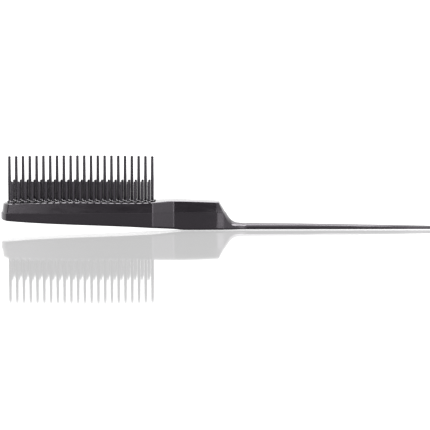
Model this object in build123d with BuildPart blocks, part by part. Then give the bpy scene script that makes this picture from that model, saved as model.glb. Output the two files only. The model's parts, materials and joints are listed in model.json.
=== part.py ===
"""Back-combing brush with a rat tail handle, lying on its back with the teeth up.

Frame: millimetres, +X from the nose of the head to the tip of the tail, +Z up through the teeth,
Y = 0 is the plane of symmetry. The grip and the tail rest on Z = 0, and X = 0 is mid-length.
"""

import os

from build123d import *

# Overall sizes, and how far a cutting shape runs past what it cuts
length = 240.0
overrun = 1.0
head_half_width = 11.3
grip_half_width = 7.6
parting_height = 9.8
rim_height = 15.5

# Stations along X
nose_x = -length / 2
head_corner_x = -116.2
head_end_x = -35.3
grip_start_x = -23.5
grip_flat_x = -18.0
grip_narrows_x = -16.0

# Underside of the lower shell: X and height, from past the nose to the flat of the grip
underside = [(nose_x - overrun, 5.7), (-75.0, 3.0), (-40.0, 1.6), (grip_flat_x, 0.0)]

# Top of the upper shell: low at the nose, level beside the teeth, then a small rise to the grip
upper_shell_top = [
    (nose_x - overrun, 14.8),
    (-108.0, 15.0),
    (-92.0, rim_height),
    (-66.0, rim_height),
    (-38.0, rim_height),
    (-26.0, 16.15),
    (-12.0, 16.0),
    (7.0, 15.3),
]

# Shells
wall = 1.7
upper_wall = 1.5
floor_thickness = 1.8
top_thickness = 1.5
corner_radius = 1.2
shoulder_radius = 5.0
underside_radius = 1.1
rim_bevel_height = 0.3
rim_bevel_width = 0.45
parting_radius = 0.35
lower_shell_step = 0.45
upper_draft = 0.45
nose_step = 0.5
nose_draft = 1.0
tongue_depth = 1.3
tongue_height = 2.2
tongue_thickness = 0.8
fit_gap = 0.05
cavity_end_x = -1.0

# Tooth bed, let into a window in the upper shell and held by its flange
bed_nose_x = -117.5
bed_corner_x = -114.9
bed_end_x = -33.7
bed_half_width = 8.9
bed_recess = 0.5
bed_thickness = 2.6
bed_flange = 0.5
bed_flange_thickness = 0.9
bed_corner_radius = 1.5
socket_radius = 1.35
socket_height = 1.2
socket_bevel_height = 0.45
socket_bevel_width = 0.55

# Teeth: a middle row of long ones, and a row of short ones on each side at half pitch
first_tooth_x = -115.2
tooth_pitch = 3.79
long_tooth_count = 22
row_offset = 7.5
long_tip_height = 41.2
long_tip_drop = 0.4
long_root_radius = 0.85
long_shoulder_radius = 0.82
long_shoulder_height = 28.0
long_tip_radius = 0.58
short_tip_height = 27.2
short_root_radius = 0.74
short_shoulder_height = 18.0
short_tip_radius = 0.6

# Backing plate under the tooth roots, and the ribs, bosses and pegs inside
plate_thickness = 1.4
rib_thickness = 1.4
rib_stations = [-104.0, -84.0, -64.0, -44.0]
rib_half_width = 7.4
peg_stations = [-17.0, -5.0]
peg_radius = 1.3
peg_depth = 5.0
peg_tip_gap = 0.2
boss_radius = 2.7

# The neck, then the tail: X, half width, height of the side edge, height of the crown
neck_stations = [
    (0.0, 6.9, 18.4, 19.4),
    (2.0, 6.66, 14.2, 15.5),
    (4.0, 6.35, 9.9, 12.0),
    (6.0, 5.9, 5.6, 8.5),
    (8.0, 5.3, 3.1, 5.7),
    (10.0, 4.7, 2.15, 4.2),
    (12.0, 4.2, 1.85, 3.65),
    (14.0, 3.85, 1.78, 3.45),
    (17.0, 3.55, 1.75, 3.36),
]
tail_stations = [
    neck_stations[-1],
    (47.0, 3.0, 1.7, 3.12),
    (80.0, 2.4, 1.65, 2.56),
    (103.0, 1.95, 1.6, 2.2),
    (length / 2, 1.5, 1.5, 1.8),
]
tail_corner_ratio = 0.148
tail_tip_radius = 0.7

# Where the side line of the upper shell runs out over the neck: X and half width
upper_side_end = (6.0, 6.3)

lower_end = [neck_stations[0][:2]]
upper_end = [neck_stations[0][:2], upper_side_end]
cavity_end = [(cavity_end_x, neck_stations[0][1])]
lower_end_x = lower_end[0][0]
underside_high = underside[0][1]
peg_bottom = parting_height - peg_depth + peg_tip_gap
peg_top = rim_height - top_thickness / 2
upper_cavity_inset = lower_shell_step + upper_wall
face_inset = upper_cavity_inset + fit_gap
face_nose_inset = face_inset + nose_draft
bed_top = rim_height - bed_recess
bed_underside = bed_top - bed_thickness
plate_underside = bed_underside - plate_thickness
long_tooth_xs = [first_tooth_x + tooth_pitch * i for i in range(long_tooth_count)]
short_tooth_xs = [x + tooth_pitch / 2 for x in long_tooth_xs[:-1]]
row_middle_x = (long_tooth_xs[0] + long_tooth_xs[-1]) / 2
long_places = [(x, 0) for x in long_tooth_xs]
short_places = [(x, side * row_offset) for side in (-1, 1) for x in short_tooth_xs]
long_tooth_sizes = (long_tip_radius, long_root_radius, long_shoulder_radius, long_shoulder_height)
short_tooth_sizes = (short_tip_radius, short_root_radius, short_root_radius, short_shoulder_height)


def plan(height, inset, nose_inset, neck_end):
    """The casing seen from above: curved nose, wide head, tapered shoulders, grip and cut-off neck end."""
    head = head_half_width - inset
    grip = grip_half_width - inset
    corner = head_corner_x + nose_inset
    head_side = [(corner, head), (head_end_x, head), (grip_start_x, grip), (grip_narrows_x, grip)]
    neck_side = [(x, half_width - inset) for x, half_width in neck_end]
    end_x, end_half = neck_side[-1]
    with BuildSketch(Plane.XY.offset(height)) as outline:
        with BuildLine():
            ThreePointArc((corner, -head), (nose_x + nose_inset, 0), (corner, head))
            for side in (1, -1):
                Polyline([(x, side * y) for x, y in head_side])
                narrowing = [(x, side * y) for x, y in (head_side[-1], neck_side[0])]
                TangentArc(*narrowing, tangent=(1, 0))
                if len(neck_side) > 1:
                    Polyline([(x, side * y) for x, y in neck_side])
            Line((end_x, end_half), (end_x, -end_half))
        make_face()
        fillet(outline.vertices().filter_by_position(Axis.X, nose_x, corner + overrun), corner_radius)
        shoulders = outline.vertices().filter_by_position(Axis.X, head_end_x, grip_start_x)
        fillet(shoulders, shoulder_radius)
    return outline.sketch


def section(station, inset, drop):
    """One cross-section of the neck or tail: flat underside, upright sides, crowned top."""
    x, half_width, edge, crown = station
    half = half_width - inset
    with BuildSketch(Plane.YZ.offset(x)) as outline:
        with BuildLine():
            Polyline((-half, edge - drop), (-half, 0), (half, 0), (half, edge - drop))
            ThreePointArc((half, edge - drop), (0, crown - drop), (-half, edge - drop))
        make_face()
        fillet(outline.vertices().group_by(Axis.Y)[0], tail_corner_ratio * half_width)
    return outline.sketch


def above_underside(rise, top, end_x):
    """Side view of the room from the underside, raised by rise, up to a flat top."""
    points = [(x, z + rise) for x, z in underside]
    with BuildSketch(Plane.XZ) as outline:
        with BuildLine():
            Spline(points)
            Polyline(points[-1], (end_x, rise), (end_x, top), (points[0][0], top), points[0])
        make_face()
    return outline.sketch


def below_top(drop, bottom):
    """Side view of the room from a flat bottom up to the top line of the upper shell, lowered by drop."""
    top_line = [(x, z - drop) for x, z in upper_shell_top]
    with BuildSketch(Plane.XZ) as outline:
        with BuildLine():
            Spline(top_line)
            Polyline(top_line[-1], (top_line[-1][0], bottom), (top_line[0][0], bottom), top_line[0])
        make_face()
    return outline.sketch


def bed_outline(height, grow):
    """The window in the upper shell, grown by grow: curved at the nose, square at the shoulders."""
    half = bed_half_width + grow
    with BuildSketch(Plane.XY.offset(height)) as outline:
        with BuildLine():
            ThreePointArc((bed_corner_x - grow, -half), (bed_nose_x - grow, 0), (bed_corner_x - grow, half))
            Polyline(
                (bed_corner_x - grow, half),
                (bed_end_x + grow, half),
                (bed_end_x + grow, -half),
                (bed_corner_x - grow, -half),
            )
        make_face()
        fillet(outline.vertices(), bed_corner_radius)
    return outline.sketch


def tooth_outline(tip_height, tip_radius, root_radius, shoulder_radius, shoulder_height):
    """Half outline of one tooth, from its root on the backing plate to its rounded tip."""
    tip_side = (tip_radius, tip_height - tip_radius)
    with BuildSketch(Plane.XZ) as outline:
        with BuildLine():
            Polyline(
                (0, tip_height),
                (0, bed_underside),
                (root_radius, bed_underside),
                (shoulder_radius, shoulder_height),
                tip_side,
            )
            RadiusArc(tip_side, (0, tip_height), -tip_radius)
        make_face()
    return outline.sketch


# Lower shell: the back of the head, the back of the grip, the neck and the tail in one moulding
with BuildPart() as tail:
    loft([section(station, 0, 0) for station in tail_stations], ruled=True)
    fillet(tail.faces().sort_by(Axis.X)[-1].edges(), tail_tip_radius)

with BuildPart() as neck:
    loft([section(station, 0, 0) for station in neck_stations])
    split(bisect_by=Plane.XY.offset(parting_height), keep=Keep.BOTTOM)

with BuildPart() as back_cavity:
    extrude(plan(0, wall, wall, cavity_end), parting_height)
    inner_room = above_underside(floor_thickness, parting_height, cavity_end_x)
    extrude(inner_room, length, both=True, mode=Mode.INTERSECT)

with BuildPart() as tongue:
    extrude(plan(parting_height - tongue_depth, wall + fit_gap, wall + fit_gap, cavity_end), tongue_height)
    inner_inset = wall + fit_gap + tongue_thickness
    extrude(
        plan(parting_height - tongue_depth, inner_inset, inner_inset, cavity_end),
        tongue_height,
        mode=Mode.SUBTRACT,
    )

with BuildPart() as back_frame:
    for x in rib_stations:
        with Locations((x, 0, parting_height / 2)):
            Box(rib_thickness, 2 * head_half_width, parting_height)
    with Locations([(x, 0, 0) for x in peg_stations]):
        Cylinder(boss_radius, parting_height, align=(Align.CENTER, Align.CENTER, Align.MIN))
    with Locations([(x, 0, parting_height - peg_depth) for x in peg_stations]):
        Cylinder(
            peg_radius + fit_gap,
            peg_depth,
            align=(Align.CENTER, Align.CENTER, Align.MIN),
            mode=Mode.SUBTRACT,
        )
    add(back_cavity.part, mode=Mode.INTERSECT)
    for x in rib_stations:
        with Locations((x, 0, (parting_height + plate_underside) / 2)):
            Box(rib_thickness, 2 * rib_half_width, plate_underside - parting_height)
    add(tongue.part, mode=Mode.SUBTRACT)

with BuildPart() as back_shell:
    extrude(plan(0, 0, 0, lower_end), parting_height)
    extrude(above_underside(0, parting_height, lower_end_x), length, both=True, mode=Mode.INTERSECT)
    outline_edges = back_shell.edges().filter_by_position(Axis.X, nose_x - overrun, lower_end_x - fit_gap)
    lower_edges = outline_edges.filter_by(lambda edge: edge.bounding_box().max.Z < underside_high)
    fillet(lower_edges, underside_radius)
    add(neck.part)
    add(tail.part)
    top_face = back_shell.faces().filter_by(Axis.Z).sort_by(Axis.Z)[-1]
    fillet(top_face.outer_wire().edges(), parting_radius)
    add(back_cavity.part, mode=Mode.SUBTRACT)
    add(back_frame.part)

# Upper shell: the rim around the tooth bed and the top of the grip
with BuildPart() as upper_neck:
    loft([section(station, lower_shell_step, lower_shell_step) for station in neck_stations])
    with Locations((lower_end_x, 0, 0)):
        Box(length, 4 * head_half_width, 2 * length, align=(Align.MAX, Align.CENTER, Align.CENTER))

with BuildPart() as face_cavity:
    inner_plan = plan(parting_height, upper_cavity_inset, upper_cavity_inset + nose_draft, cavity_end)
    extrude(inner_plan, rim_height)
    extrude(below_top(top_thickness, parting_height), length, both=True, mode=Mode.INTERSECT)

with BuildPart() as face_shell:
    loft(
        [
            plan(parting_height, lower_shell_step, nose_step, upper_end),
            plan(rim_height + overrun, lower_shell_step + upper_draft, nose_step + nose_draft, upper_end),
        ],
        ruled=True,
    )
    extrude(below_top(0, parting_height), length, both=True, mode=Mode.INTERSECT)
    add(upper_neck.part, mode=Mode.INTERSECT)
    top_face = face_shell.faces().sort_by(Axis.Z)[-1]
    rim_edges = top_face.edges().filter_by(Axis.Y, reverse=True)
    chamfer(rim_edges, rim_bevel_width, rim_bevel_height, reference=top_face)
    add(face_cavity.part, mode=Mode.SUBTRACT)
    extrude(bed_outline(parting_height, 0), rim_height, mode=Mode.SUBTRACT)
    add(tongue.part)
    with Locations([(x, 0, peg_bottom) for x in peg_stations]):
        Cylinder(peg_radius, peg_top - peg_bottom, align=(Align.CENTER, Align.CENTER, Align.MIN))

# Tooth bed: a plate with a flange under the rim, and a raised socket round every tooth
with BuildPart() as bed_plate:
    extrude(bed_outline(bed_underside, bed_flange), bed_flange_thickness)
    extrude(plan(bed_underside, face_inset, face_nose_inset, cavity_end), rim_height, mode=Mode.INTERSECT)
    extrude(bed_outline(bed_underside, -fit_gap), bed_thickness)

with BuildPart() as socket:
    Cylinder(socket_radius, bed_thickness + socket_height, align=(Align.CENTER, Align.CENTER, Align.MIN))
    socket_top = socket.faces().sort_by(Axis.Z)[-1]
    chamfer(socket_top.edges(), socket_bevel_width, socket_bevel_height, reference=socket_top)

with BuildPart() as tooth_bed:
    add(bed_plate.part)
    with Locations([(x, y, bed_underside) for x, y in long_places + short_places]):
        add(socket.part)
    with Locations([(x, y, bed_top) for x, y in long_places]):
        Cylinder(long_root_radius + fit_gap / 2, length, mode=Mode.SUBTRACT)
    with Locations([(x, y, bed_top) for x, y in short_places]):
        Cylinder(short_root_radius + fit_gap / 2, length, mode=Mode.SUBTRACT)

# Backing plate that closes the sockets from below and stands on the ribs
with BuildPart() as root_plate:
    extrude(bed_outline(plate_underside, bed_flange), plate_thickness)
    extrude(plan(plate_underside, face_inset, face_nose_inset, cavity_end), rim_height, mode=Mode.INTERSECT)

# Teeth: every one is a separate pin, set in its socket
with BuildPart() as long_teeth:
    for x, y in long_places:
        from_middle = (x - row_middle_x) / (row_middle_x - first_tooth_x)
        tip_height = long_tip_height - long_tip_drop * from_middle**2
        pin = revolve(tooth_outline(tip_height, *long_tooth_sizes), Axis.Z, mode=Mode.PRIVATE)
        add(pin.moved(Location((x, y, 0))))

with BuildPart() as short_tooth:
    revolve(tooth_outline(short_tip_height, *short_tooth_sizes), Axis.Z)

short_rows = {}
for name, side in (("short_teeth_front", -1), ("short_teeth_back", 1)):
    with BuildPart() as row:
        with Locations([(x, side * row_offset, 0) for x in short_tooth_xs]):
            add(short_tooth.part)
    short_rows[name] = row.part

pieces = {
    "back_shell": back_shell.part,
    "face_shell": face_shell.part,
    "tooth_bed": tooth_bed.part,
    "root_plate": root_plate.part,
    "long_teeth": long_teeth.part,
    **short_rows,
}
os.makedirs("parts", exist_ok=True)
for name, piece in pieces.items():
    piece.label = name
    export_step(piece, f"parts/{name}.step")
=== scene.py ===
"""Back-combing brush with a rat tail, on its back on a pale floor: looks, light and camera."""

import json
import math

import bmesh
import bpy
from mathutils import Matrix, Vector

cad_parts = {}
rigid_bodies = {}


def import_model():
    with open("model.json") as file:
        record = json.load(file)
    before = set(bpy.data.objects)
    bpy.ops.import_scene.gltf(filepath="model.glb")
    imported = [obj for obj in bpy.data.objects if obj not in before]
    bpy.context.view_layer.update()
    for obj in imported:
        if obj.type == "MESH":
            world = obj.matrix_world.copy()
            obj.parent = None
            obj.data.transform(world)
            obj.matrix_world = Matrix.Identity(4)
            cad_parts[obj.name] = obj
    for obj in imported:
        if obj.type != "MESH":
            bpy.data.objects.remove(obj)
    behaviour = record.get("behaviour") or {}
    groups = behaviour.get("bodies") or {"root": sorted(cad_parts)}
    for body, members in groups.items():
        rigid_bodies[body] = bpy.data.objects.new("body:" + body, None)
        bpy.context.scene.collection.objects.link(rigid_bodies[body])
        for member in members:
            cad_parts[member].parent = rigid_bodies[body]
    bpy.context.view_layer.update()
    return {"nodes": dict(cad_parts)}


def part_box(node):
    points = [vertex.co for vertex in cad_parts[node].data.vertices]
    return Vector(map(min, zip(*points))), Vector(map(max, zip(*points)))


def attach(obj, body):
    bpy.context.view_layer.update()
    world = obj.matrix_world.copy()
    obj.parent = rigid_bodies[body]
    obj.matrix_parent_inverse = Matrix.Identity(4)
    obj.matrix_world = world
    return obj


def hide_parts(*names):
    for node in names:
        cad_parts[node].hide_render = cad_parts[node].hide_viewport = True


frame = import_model()

MM = 0.001
nodes = frame["nodes"]


# ---------------------------------------------------------------- materials

def new_material(name):
    """A new material whose tree holds one Principled shader, joined to the output."""
    material = bpy.data.materials.new(name)
    material.use_nodes = True
    tree = material.node_tree
    tree.nodes.clear()
    shader = tree.nodes.new("ShaderNodeBsdfPrincipled")
    output = tree.nodes.new("ShaderNodeOutputMaterial")
    tree.links.new(shader.outputs["BSDF"], output.inputs["Surface"])
    return material, tree, shader


def noise(tree, scale, detail, roughness, stretch=(1.0, 1.0, 1.0)):
    """Noise over the object's own metres, drawn out along X where stretch is under 1 there."""
    place = tree.nodes.new("ShaderNodeTexCoord")
    mapping = tree.nodes.new("ShaderNodeMapping")
    mapping.inputs["Scale"].default_value = stretch
    texture = tree.nodes.new("ShaderNodeTexNoise")
    texture.inputs["Scale"].default_value = scale
    texture.inputs["Detail"].default_value = detail
    texture.inputs["Roughness"].default_value = roughness
    tree.links.new(place.outputs["Object"], mapping.inputs["Vector"])
    tree.links.new(mapping.outputs["Vector"], texture.inputs["Vector"])
    return texture.outputs["Fac"]


def spread(tree, value, low, high, from_low=0.3, from_high=0.7):
    """Maps a value from one range onto another. Noise mostly lies between 0.3 and 0.7."""
    remap = tree.nodes.new("ShaderNodeMapRange")
    remap.inputs["From Min"].default_value = from_low
    remap.inputs["From Max"].default_value = from_high
    remap.inputs["To Min"].default_value = low
    remap.inputs["To Max"].default_value = high
    tree.links.new(value, remap.inputs["Value"])
    return remap.outputs["Result"]


def tint(tree, value, dark, light):
    """Blends two colours by a value."""
    mix = tree.nodes.new("ShaderNodeMix")
    mix.data_type = "RGBA"
    mix.inputs["A"].default_value = (*dark, 1.0)
    mix.inputs["B"].default_value = (*light, 1.0)
    tree.links.new(value, mix.inputs["Factor"])
    return mix.outputs["Result"]


PLASTIC_IOR = 1.5
GLOSS_TINT = (0.98, 0.92, 1.0, 1.0)
SKIN_DEPTH = 0.02 * MM
ALONG_FLOW = (0.35, 1.0, 1.0)
ALONG_RUBS = (0.25, 1.0, 1.0)


def black_plastic(name, dark, light, gloss, specular, grain, bump):
    """Moulded black plastic: slight colour flow, uneven gloss along its length and a soft skin texture."""
    material, tree, shader = new_material(name)
    flow = noise(tree, 60.0, 3.0, 0.5, ALONG_FLOW)
    tree.links.new(tint(tree, spread(tree, flow, 0.0, 1.0), dark, light), shader.inputs["Base Color"])
    haze = noise(tree, 420.0, 4.0, 0.6, ALONG_RUBS)
    tree.links.new(spread(tree, haze, gloss - 0.04, gloss + 0.06), shader.inputs["Roughness"])
    skin = noise(tree, grain, 2.0, 0.5)
    relief = tree.nodes.new("ShaderNodeBump")
    relief.inputs["Strength"].default_value = bump
    relief.inputs["Distance"].default_value = SKIN_DEPTH
    tree.links.new(skin, relief.inputs["Height"])
    tree.links.new(relief.outputs["Normal"], shader.inputs["Normal"])
    shader.inputs["IOR"].default_value = PLASTIC_IOR
    shader.inputs["Specular IOR Level"].default_value = specular
    shader.inputs["Specular Tint"].default_value = GLOSS_TINT
    return material


casing_look = black_plastic(
    "casing_black_plastic",
    dark=(0.0078, 0.0060, 0.0085),
    light=(0.0120, 0.0092, 0.0125),
    gloss=0.14,
    specular=0.5,
    grain=900.0,
    bump=0.08,
)
bed_look = black_plastic(
    "bed_black_plastic",
    dark=(0.0050, 0.0045, 0.0058),
    light=(0.0085, 0.0075, 0.0095),
    gloss=0.17,
    specular=0.5,
    grain=1200.0,
    bump=0.08,
)
tooth_look = black_plastic(
    "tooth_black_nylon",
    dark=(0.0200, 0.0178, 0.0222),
    light=(0.0290, 0.0260, 0.0320),
    gloss=0.3,
    specular=0.42,
    grain=700.0,
    bump=0.0,
)
inner_look = black_plastic(
    "inner_black_plastic",
    dark=(0.0080, 0.0080, 0.0080),
    light=(0.0150, 0.0150, 0.0150),
    gloss=0.4,
    specular=0.5,
    grain=1500.0,
    bump=0.3,
)

for name, look in (
    ("back_shell", casing_look),
    ("face_shell", casing_look),
    ("tooth_bed", bed_look),
    ("root_plate", inner_look),
):
    materials = nodes[name].data.materials
    if not materials:
        materials.append(look)
    for index in range(len(materials)):
        materials[index] = look


# ---------------------------------------------------------------- teeth

LONG_COUNT = 22
SHORT_COUNT = LONG_COUNT - 1
LONG_ROOT_RADIUS = 0.85
SHORT_ROOT_RADIUS = 0.74
STRAIGHT_TOP = 18.0  # height that the roots keep their full radius up to
TIP_DROP = 0.4       # how much lower the end teeth of the long row are than the middle ones


def round_tip(radius, tip, steps=6):
    """The last rings of a pin in millimetres: a ball cap from its widest ring to its top point."""
    cap = []
    for step in range(steps + 1):
        angle = math.pi / 2 * step / steps
        cap.append((radius * math.cos(angle), tip - radius + radius * math.sin(angle)))
    return cap


def long_profile(root, tip):
    """Long tooth: stout root, a shoulder two thirds up, a slender top, a neck and a small ball."""
    return [
        (LONG_ROOT_RADIUS, root),
        (LONG_ROOT_RADIUS, STRAIGHT_TOP),
        (0.88, 27.4),
        (0.87, 28.6),
        (0.84, 30.0),
        (0.81, 31.6),
        (0.79, 34.0),
        (0.76, tip - 2.0),
        (0.71, tip - 1.45),
        (0.72, tip - 1.15),
        (0.78, tip - 0.88),
    ] + round_tip(0.81, tip)


def short_profile(root, tip):
    """Short tooth: nearly straight with a rounded tip."""
    return [
        (SHORT_ROOT_RADIUS, root),
        (SHORT_ROOT_RADIUS, STRAIGHT_TOP),
        (0.71, tip - 2.2),
        (0.67, tip - 1.2),
    ] + round_tip(0.66, tip)


def lathe(mesh, centre, profile, segments=20):
    """Adds one turned pin to the mesh: rings of (radius, height) in millimetres, closed at the top."""
    x, y = centre
    rings = []
    for radius, height in profile[:-1]:
        ring = []
        for step in range(segments):
            angle = 2 * math.pi * step / segments
            across = radius * MM * math.cos(angle)
            along = radius * MM * math.sin(angle)
            ring.append(mesh.verts.new((x + across, y + along, height * MM)))
        rings.append(ring)
    for lower, upper in zip(rings, rings[1:]):
        for step in range(segments):
            after = (step + 1) % segments
            mesh.faces.new((lower[step], lower[after], upper[after], upper[step]))
    top = mesh.verts.new((x, y, profile[-1][1] * MM))
    for step in range(segments):
        mesh.faces.new((rings[-1][step], rings[-1][(step + 1) % segments], top))
    mesh.faces.new(list(reversed(rings[0])))


def make_teeth(name, centres, profiles, replaced):
    """One object holding a row of pins, standing for the CAD node of that row."""
    build = bmesh.new()
    for centre, profile in zip(centres, profiles):
        lathe(build, centre, profile)
    mesh = bpy.data.meshes.new(name)
    build.to_mesh(mesh)
    build.free()
    mesh.polygons.foreach_set("use_smooth", [True] * len(mesh.polygons))
    mesh.materials.append(tooth_look)
    teeth = bpy.data.objects.new(name, mesh)
    bpy.context.scene.collection.objects.link(teeth)
    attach(teeth, "root")
    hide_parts(replaced)


low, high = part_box("long_teeth")
first_x = low.x + LONG_ROOT_RADIUS * MM
last_x = high.x - LONG_ROOT_RADIUS * MM
pitch = (last_x - first_x) / (LONG_COUNT - 1)
long_xs = [first_x + pitch * i for i in range(LONG_COUNT)]
profiles = []
for i in range(LONG_COUNT):
    from_middle = 2 * i / (LONG_COUNT - 1) - 1
    profiles.append(long_profile(low.z / MM, high.z / MM - TIP_DROP * from_middle ** 2))
make_teeth("long_teeth_detailed", [(x, 0.0) for x in long_xs], profiles, "long_teeth")

for row in ("short_teeth_front", "short_teeth_back"):
    low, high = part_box(row)
    middle_y = (low.y + high.y) / 2
    centres = [(x + pitch / 2, middle_y) for x in long_xs[:-1]]
    profile = short_profile(low.z / MM, high.z / MM)
    make_teeth(row + "_detailed", centres, [profile] * SHORT_COUNT, row)


# ---------------------------------------------------------------- floor, light and camera

FLOOR_HALF = 30.0
FLOOR_GAP = 0.4 * MM  # the floor lies a hair below the brush
LIGHT_TARGET = Vector((0.0, 0.0, 0.01))
SENSOR = 36.0         # camera sensor width in millimetres
SEEN_WIDTH = 0.2401   # width of the picture at the brush, in metres


def add_floor():
    """A plain white floor that glows a little and is polished enough for a faint mirror image."""
    mesh = bpy.data.meshes.new("floor")
    corners = [(-1, -1), (1, -1), (1, 1), (-1, 1)]
    mesh.from_pydata([(FLOOR_HALF * x, FLOOR_HALF * y, 0) for x, y in corners], [], [(0, 1, 2, 3)])
    floor = bpy.data.objects.new("floor", mesh)
    floor.location.z = -FLOOR_GAP
    bpy.context.scene.collection.objects.link(floor)
    material, tree, shader = new_material("pale_floor")
    shader.inputs["Base Color"].default_value = (0.17, 0.17, 0.17, 1.0)
    shader.inputs["Roughness"].default_value = 0.045
    shader.inputs["IOR"].default_value = 1.4
    shader.inputs["Emission Color"].default_value = (1.0, 1.0, 1.0, 1.0)
    shader.inputs["Emission Strength"].default_value = 0.38
    mesh.materials.append(material)
    return floor


def add_softbox(name, place, width, height, radiance):
    """A rectangular soft light aimed at the brush; its power follows from how bright its face looks."""
    data = bpy.data.lights.new(name, "AREA")
    data.shape = "RECTANGLE"
    data.size = width
    data.size_y = height
    data.energy = radiance * math.pi * width * height
    light = bpy.data.objects.new(name, data)
    light.location = place
    light.rotation_euler = (LIGHT_TARGET - Vector(place)).to_track_quat("-Z", "Y").to_euler()
    bpy.context.scene.collection.objects.link(light)
    return light


def keep_off(floor, light):
    """Lets a light reach everything but the floor, so that its face doesn't show in the polish."""
    brush = bpy.data.collections.new("brush_only")
    for piece in bpy.context.scene.objects:
        if piece.type == "MESH" and piece != floor:
            brush.objects.link(piece)
    light.light_linking.receiver_collection = brush


def add_world():
    """White where the camera looks; as a light, bright behind the brush and dim on the camera's side."""
    world = bpy.data.worlds.new("studio")
    bpy.context.scene.world = world
    world.use_nodes = True
    tree = world.node_tree
    tree.nodes.clear()
    direction = tree.nodes.new("ShaderNodeTexCoord")
    axes = tree.nodes.new("ShaderNodeSeparateXYZ")
    tree.links.new(direction.outputs["Generated"], axes.inputs["Vector"])
    seen = tree.nodes.new("ShaderNodeBackground")
    seen.inputs["Strength"].default_value = 1.3
    lit = tree.nodes.new("ShaderNodeBackground")
    brightness = spread(tree, axes.outputs["Y"], low=0.36, high=1.45, from_low=-0.9, from_high=0.5)
    tree.links.new(brightness, lit.inputs["Strength"])
    path = tree.nodes.new("ShaderNodeLightPath")
    mix = tree.nodes.new("ShaderNodeMixShader")
    output = tree.nodes.new("ShaderNodeOutputWorld")
    for background in (seen, lit):
        background.inputs["Color"].default_value = (1.0, 1.0, 1.0, 1.0)
    tree.links.new(path.outputs["Is Camera Ray"], mix.inputs["Fac"])
    tree.links.new(lit.outputs["Background"], mix.inputs[1])
    tree.links.new(seen.outputs["Background"], mix.inputs[2])
    tree.links.new(mix.outputs["Shader"], output.inputs["Surface"])


def add_camera():
    """Side view from slightly above, with the whole length filling the width of the frame."""
    elevation = math.radians(5.2)
    distance = 1.23
    target = Vector((-0.65 * MM, 0.0, 7.75 * MM))
    data = bpy.data.cameras.new("camera")
    data.sensor_width = SENSOR
    data.lens = SENSOR * distance / SEEN_WIDTH
    camera = bpy.data.objects.new("camera", data)
    camera.location = target + distance * Vector((0.0, -math.cos(elevation), math.sin(elevation)))
    camera.rotation_euler = (math.pi / 2 - elevation, 0.0, 0.0)
    bpy.context.scene.collection.objects.link(camera)
    bpy.context.scene.camera = camera


floor = add_floor()
add_world()
add_softbox("overhead", (0.0, 0.33, 0.9), width=1.7, height=1.25, radiance=2.1)
add_softbox("top_strip", (0.0, 0.27, 0.88), width=1.7, height=0.16, radiance=10.0)
add_softbox("right_front", (0.60, -1.0, 0.26), width=0.5, height=0.5, radiance=1.6)
add_softbox("right_strip", (0.31, -1.05, 0.24), width=0.16, height=0.46, radiance=5.0)
left_front = add_softbox("left_front", (-0.40, -1.15, 0.26), width=0.44, height=0.5, radiance=3.0)
keep_off(floor, left_front)
add_camera()
bpy.context.scene.view_settings.view_transform = "Standard"
